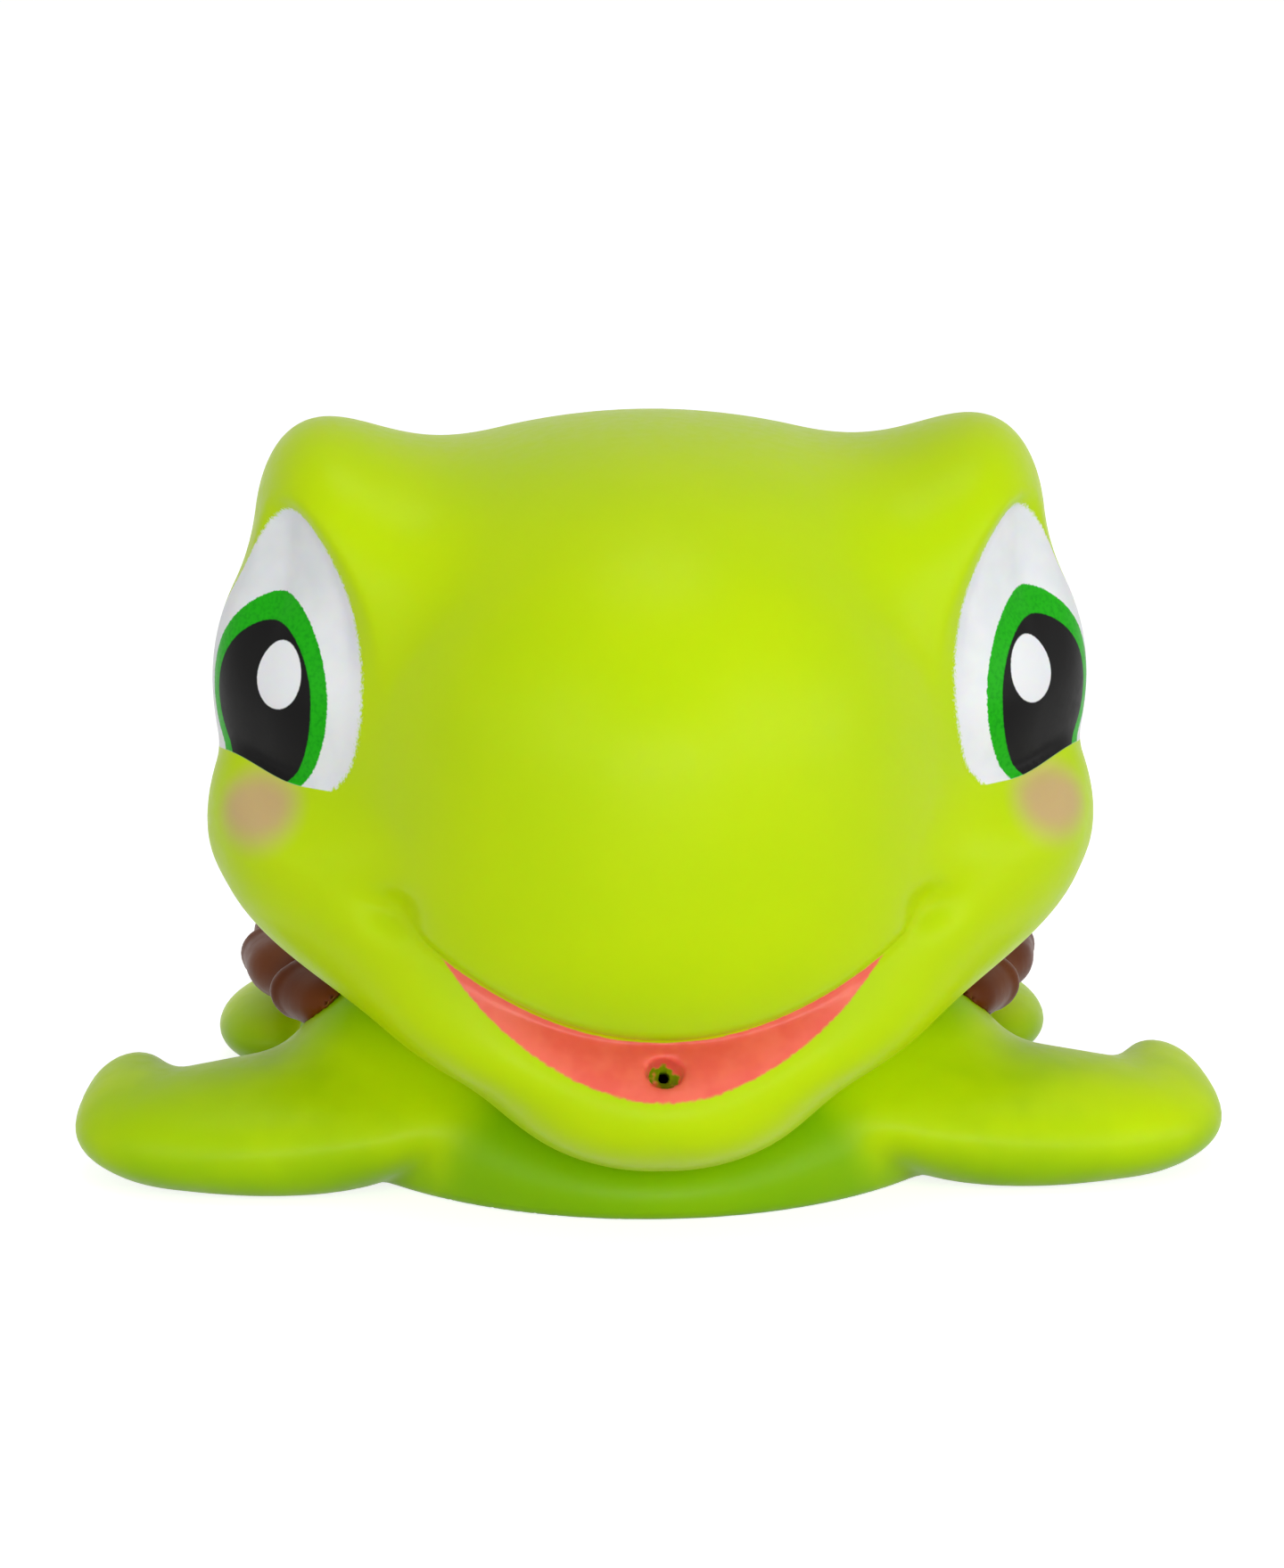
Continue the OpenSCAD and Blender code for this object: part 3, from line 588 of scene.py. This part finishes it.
class Skin:
    """A material's nodes, made one call at a time."""

    def __init__(self, name, roughness=0.45, specular=0.5):
        self.mat = bpy.data.materials.new(name)
        self.mat.use_nodes = True
        self.nodes = self.mat.node_tree.nodes
        self.shader = self.nodes["Principled BSDF"]
        self.set("Roughness", roughness)
        self.set("Specular IOR Level", specular)
        self.place = self.nodes.new("ShaderNodeTexCoord").outputs["Object"]

    def set(self, socket, value):
        if isinstance(value, bpy.types.NodeSocket):
            self.mat.node_tree.links.new(value, self.shader.inputs[socket])
        else:
            self.shader.inputs[socket].default_value = value

    def node(self, kind, values, **options):
        node = self.nodes.new(kind)
        for key, option in options.items():
            setattr(node, key, option)
        for key, value in values.items():
            if isinstance(value, bpy.types.NodeSocket):
                self.mat.node_tree.links.new(value, node.inputs[key])
            else:
                node.inputs[key].default_value = value
        return node.outputs

    def noise(self, size, detail=2.0):
        """Noise with features of a size in millimetres."""
        values = {"Vector": self.place, "Scale": 1 / (size * MM), "Detail": detail}
        return self.node("ShaderNodeTexNoise", values)["Fac"]

    def attribute(self, name):
        return self.node("ShaderNodeAttribute", {}, attribute_name=name)["Fac"]

    def sum(self, *values, op="ADD"):
        return self.node("ShaderNodeMath", dict(enumerate(values)), operation=op)["Value"]

    def span(self, value, low, high, to_low=0.0, to_high=1.0, step="SMOOTHSTEP"):
        values = {"Value": value, "From Min": low, "From Max": high, "To Min": to_low, "To Max": to_high}
        return self.node("ShaderNodeMapRange", values, interpolation_type=step)["Result"]

    def mix(self, share, first, second):
        node = self.nodes.new("ShaderNodeMix")
        node.data_type = "RGBA"
        for socket, value in ((0, share), (6, first), (7, second)):
            if isinstance(value, bpy.types.NodeSocket):
                self.mat.node_tree.links.new(value, node.inputs[socket])
            else:
                node.inputs[socket].default_value = value
        return node.outputs[2]

    def painted(self, edge, ragged=0.0, grain=0.3, soft=0.08):
        """1 inside a painted edge, whose line strays by ragged and fades over soft, in millimetres."""
        if ragged:
            stray = self.span(self.noise(grain, 3), 0.25, 0.75, -ragged, ragged, "LINEAR")
            edge = self.sum(edge, stray)
        return self.span(edge, -soft, soft, 1.0, 0.0)

    def bump(self, *layers, socket="Normal"):
        """Layers of noise as (size, height), both in millimetres."""
        normal = None
        for size, height in layers:
            values = {"Height": self.noise(size, 2), "Distance": height * MM, "Strength": 1.0}
            if normal is not None:
                values["Normal"] = normal
            normal = self.node("ShaderNodeBump", values)["Normal"]
        self.set(socket, normal)


GREEN, GREEN_WARM = linear((190, 222, 0)), linear((194, 224, 0))
# Painted shade: the body's green is set darker than the head's, and the second green of this line is a
# darker one, painted where shade falls on the body and deep in the squirt hole
GREEN_BODY, GREEN_SHADED = linear((170, 207, 0)), linear((126, 182, 0))
CORAL, CORAL_DEEP = linear((255, 118, 98)), linear((246, 104, 88))
WHITE, WHITE_DIM = linear((238, 241, 242)), linear((230, 234, 236))
IRIS, IRIS_DEEP = linear((26, 178, 8)), linear((8, 158, 4))
PUPIL = linear((4, 3, 3))
BLUSH = linear((206, 166, 132))
BROWN, BROWN_DEEP = linear((112, 56, 14)), linear((92, 40, 4))


def vinyl(name, base, warm, specular=0.11):
    """Satin soft vinyl, and the colour that paint goes over."""
    skin = Skin(name, 0.36, specular)
    colour = skin.mix(skin.span(skin.noise(18, 3), 0.35, 0.65), base, warm)
    skin.set("Subsurface Weight", 0.4)
    skin.set("Subsurface Radius", (0.5, 1.0, 0.2))
    skin.set("Subsurface Scale", 0.003)
    skin.bump((6, 0.012), (0.5, 0.006))
    skin.set("Roughness", skin.span(skin.noise(1.2, 3), 0.3, 0.7, 0.32, 0.42, "LINEAR"))
    return skin, colour


def head_vinyl():
    skin, colour = vinyl("head_vinyl", GREEN, GREEN_WARM)
    blush = skin.sum(skin.span(skin.attribute("blush"), -3.0, 1.3, 0.85, 0.0),
        skin.span(skin.attribute("lid"), -0.4, 0.1, 0.0, 1.0), op="MULTIPLY")
    colour = skin.mix(blush, colour, BLUSH)
    mouth = skin.sum(skin.painted(skin.attribute("mouth_edge"), 0.1, 0.6, 0.16),
        skin.painted(skin.attribute("lip_edge"), soft=0.15), op="MULTIPLY")
    # Deep in the squirt hole the coral paint stops, and the bare vinyl there is given the darker green
    # of shade instead of its own: painted shade
    depth = skin.sum(skin.attribute("recess"), skin.span(skin.noise(1.5), 0.3, 0.7, -0.4, 0.4))
    inside = skin.span(depth, 3.1, 3.5)
    colour = skin.mix(inside, colour, GREEN_SHADED)
    bare = skin.sum(1.0, inside, op="SUBTRACT")
    mouth = skin.sum(mouth, bare, op="MULTIPLY")
    coral = skin.mix(skin.span(skin.noise(3), 0.3, 0.7), CORAL, CORAL_DEEP)
    colour = skin.mix(mouth, colour, coral)
    eye = skin.painted(skin.attribute("lid"))
    white = skin.mix(skin.span(skin.noise(5), 0.3, 0.7), WHITE, WHITE_DIM)
    iris = skin.mix(skin.span(skin.noise(0.4, 4), 0.4, 0.75), IRIS, IRIS_DEEP)
    for name, ragged, soft, paint in (("white", 0.24, 0.2, white), ("iris", 0.08, 0.08, iris),
            ("pupil", 0.03, 0.08, PUPIL), ("glint", 0.02, 0.08, WHITE)):
        cover = skin.sum(skin.painted(skin.attribute(name), ragged, 0.3, soft), eye, op="MULTIPLY")
        colour = skin.mix(cover, colour, paint)
    skin.set("Base Color", colour)
    skin.set("Coat Weight", skin.sum(mouth, 0.35, op="MULTIPLY"))
    skin.set("Coat Roughness", 0.22)
    skin.bump((0.5, 0.02), socket="Coat Normal")
    return skin.mat


def body_vinyl():
    skin, colour = vinyl("body_vinyl", GREEN_BODY, GREEN_WARM)
    # Painted shade: the stored shade value mixes the body towards the darker green of shade
    colour = skin.mix(skin.attribute("shade"), colour, GREEN_SHADED)
    skin.set("Base Color", colour)
    return skin.mat


def shell_vinyl():
    skin, colour = vinyl("shell_vinyl", BROWN, BROWN_DEEP, 0.07)
    skin.set("Base Color", colour)
    return skin.mat


def moulded(name, colour, dim, roughness):
    skin = Skin(name, roughness)
    skin.set("Base Color", skin.mix(skin.span(skin.noise(2, 3), 0.3, 0.7), linear(colour), linear(dim)))
    rough = skin.span(skin.noise(0.6), 0.3, 0.7, roughness - 0.05, roughness + 0.08, "LINEAR")
    skin.set("Roughness", rough)
    skin.bump((0.25, 0.004))
    return skin.mat


# How many short lengths the reed's strip is made of
REED_LENGTHS = 20


def make_reed(mat):
    """The reed as a strip of short lengths along its run, in place of the solid reed."""
    low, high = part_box("reed")
    spots = []
    for i in range(REED_LENGTHS + 1):
        y = low[1] + (high[1] - low[1]) * i / REED_LENGTHS
        spots += [(low[0], y, low[2]), (high[0], y, low[2]), (high[0], y, high[2]), (low[0], y, high[2])]
    last = 4 * REED_LENGTHS
    faces = [(0, 1, 2, 3), (last + 3, last + 2, last + 1, last)]
    for i in range(REED_LENGTHS):
        for k in range(4):
            a, b = 4 * i + k, 4 * i + (k + 1) % 4
            faces.append((b, a, a + 4, b + 4))
    mesh = bpy.data.meshes.new("reed_strip")
    mesh.from_pydata(spots, [], faces)
    mesh.materials.append(mat)
    strip = bpy.data.objects.new("reed_strip", mesh)
    bpy.context.scene.collection.objects.link(strip)
    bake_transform(strip)
    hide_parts("reed")


def dress_squeaker():
    white = moulded("squeaker_white", (222, 224, 220), (210, 212, 208), 0.45)
    grey = moulded("squeaker_grey", (182, 184, 182), (168, 170, 168), 0.5)
    film = moulded("reed_film", (206, 206, 200), (190, 190, 184), 0.3)
    finishes = {"squeaker_housing": white, "squeaker_cap": white, "reed_block": grey, "reed_clamp": grey}
    for node, mat in finishes.items():
        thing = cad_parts[node]
        thing.data.materials.clear()
        thing.data.materials.append(mat)
    make_reed(film)


# Studio
CAM_TARGET = Vector((0, 0.004, 0.036))
CAM_AZ, CAM_EL, CAM_DIST = math.radians(-2.6), math.radians(12.5), 0.520
CAM_LENS, CAM_SHIFT = 137.565, (0.0, -0.00104)
# Area lamps: name, place and size in metres, power in watts. All of them look at AIM.
AIM = Vector((0, -0.02, 0.04))
LAMPS = (
    ("top", (0, -0.1, 0.9), (0.5, 0.4), 1.35),
    ("front", (0, -0.9, 0.13), (0.7, 0.22), 2.5),
    ("front_right", (0.6, -0.7, 0.3), (0.45, 0.5), 1.8),
    ("front_left", (-0.6, -0.7, 0.3), (0.45, 0.5), 1.2),
    ("right", (0.85, -0.3, 0.2), (0.4, 0.35), 1.1),
    ("left", (-0.85, -0.3, 0.2), (0.4, 0.35), 0.3),
)
AMBIENT, FLOOR_HALF, FLOOR_GREY = 0.33, 10.0, 0.65
# The world's light and this glow make the floor white by themselves. Lamps and shadows come on top.
FLOOR_GLOW = 1 - AMBIENT * FLOOR_GREY


def make_camera():
    flat = math.cos(CAM_EL)
    back = Vector((math.sin(CAM_AZ) * flat, -math.cos(CAM_AZ) * flat, math.sin(CAM_EL)))
    right = Vector((math.cos(CAM_AZ), math.sin(CAM_AZ), 0))
    data = bpy.data.cameras.new("camera")
    data.sensor_width = 36
    data.sensor_fit = "HORIZONTAL"
    data.lens = CAM_LENS
    data.shift_x, data.shift_y = CAM_SHIFT
    data.clip_start, data.clip_end = 0.01, 50
    camera = bpy.data.objects.new("camera", data)
    turn = Matrix((right, back.cross(right), back)).transposed()
    camera.matrix_world = Matrix.Translation(CAM_TARGET + back * CAM_DIST) @ turn.to_4x4()
    bpy.context.scene.collection.objects.link(camera)
    bpy.context.scene.camera = camera


def make_lamp(name, place, size, power):
    data = bpy.data.lights.new(name, "AREA")
    data.shape = "RECTANGLE"
    data.size, data.size_y = size
    data.energy = power
    lamp = bpy.data.objects.new(name, data)
    lamp.location = place
    lamp.rotation_mode = "QUATERNION"
    lamp.rotation_quaternion = (AIM - Vector(place)).to_track_quat("-Z", "Y")
    bpy.context.scene.collection.objects.link(lamp)


def seen_rays(nodes, links):
    """1 for rays that show the backdrop: the camera's, and those in gloss and glass."""
    path = nodes.new("ShaderNodeLightPath")
    total = path.outputs["Is Camera Ray"]
    for name in ("Is Glossy Ray", "Is Transmission Ray"):
        add = nodes.new("ShaderNodeMath")
        add.operation = "MAXIMUM"
        links.new(total, add.inputs[0])
        links.new(path.outputs[name], add.inputs[1])
        total = add.outputs[0]
    return total


def make_world():
    world = bpy.data.worlds.new("studio")
    world.use_nodes = True
    nodes, links = world.node_tree.nodes, world.node_tree.links
    seen = seen_rays(nodes, links)
    strength = nodes.new("ShaderNodeMapRange")
    links.new(seen, strength.inputs["Value"])
    strength.inputs["To Min"].default_value = AMBIENT
    strength.inputs["To Max"].default_value = 1.0
    shade = nodes["Background"]
    shade.inputs["Color"].default_value = (1, 1, 1, 1)
    links.new(strength.outputs["Result"], shade.inputs["Strength"])
    bpy.context.scene.world = world


def make_floor():
    mesh = bpy.data.meshes.new("floor")
    r, z = FLOOR_HALF, -0.05 * MM
    mesh.from_pydata([(-r, -r, z), (r, -r, z), (r, r, z), (-r, r, z)], [], [(0, 1, 2, 3)])
    floor = bpy.data.objects.new("floor", mesh)
    bpy.context.scene.collection.objects.link(floor)
    mat = bpy.data.materials.new("floor")
    mat.use_nodes = True
    nodes, links = mat.node_tree.nodes, mat.node_tree.links
    shader = nodes["Principled BSDF"]
    shader.inputs["Base Color"].default_value = (FLOOR_GREY, FLOOR_GREY, FLOOR_GREY, 1)
    shader.inputs["Roughness"].default_value = 0.9
    shader.inputs["Specular IOR Level"].default_value = 0.1
    shader.inputs["Emission Color"].default_value = (1, 1, 1, 1)
    glow = nodes.new("ShaderNodeMath")
    glow.operation = "MULTIPLY"
    links.new(seen_rays(nodes, links), glow.inputs[0])
    glow.inputs[1].default_value = FLOOR_GLOW
    links.new(glow.outputs[0], shader.inputs["Emission Strength"])
    mesh.materials.append(mat)


make_camera()
make_world()
make_floor()
for lamp in LAMPS:
    make_lamp(*lamp)
make_head()
make_body()
make_shell()
dress_squeaker()
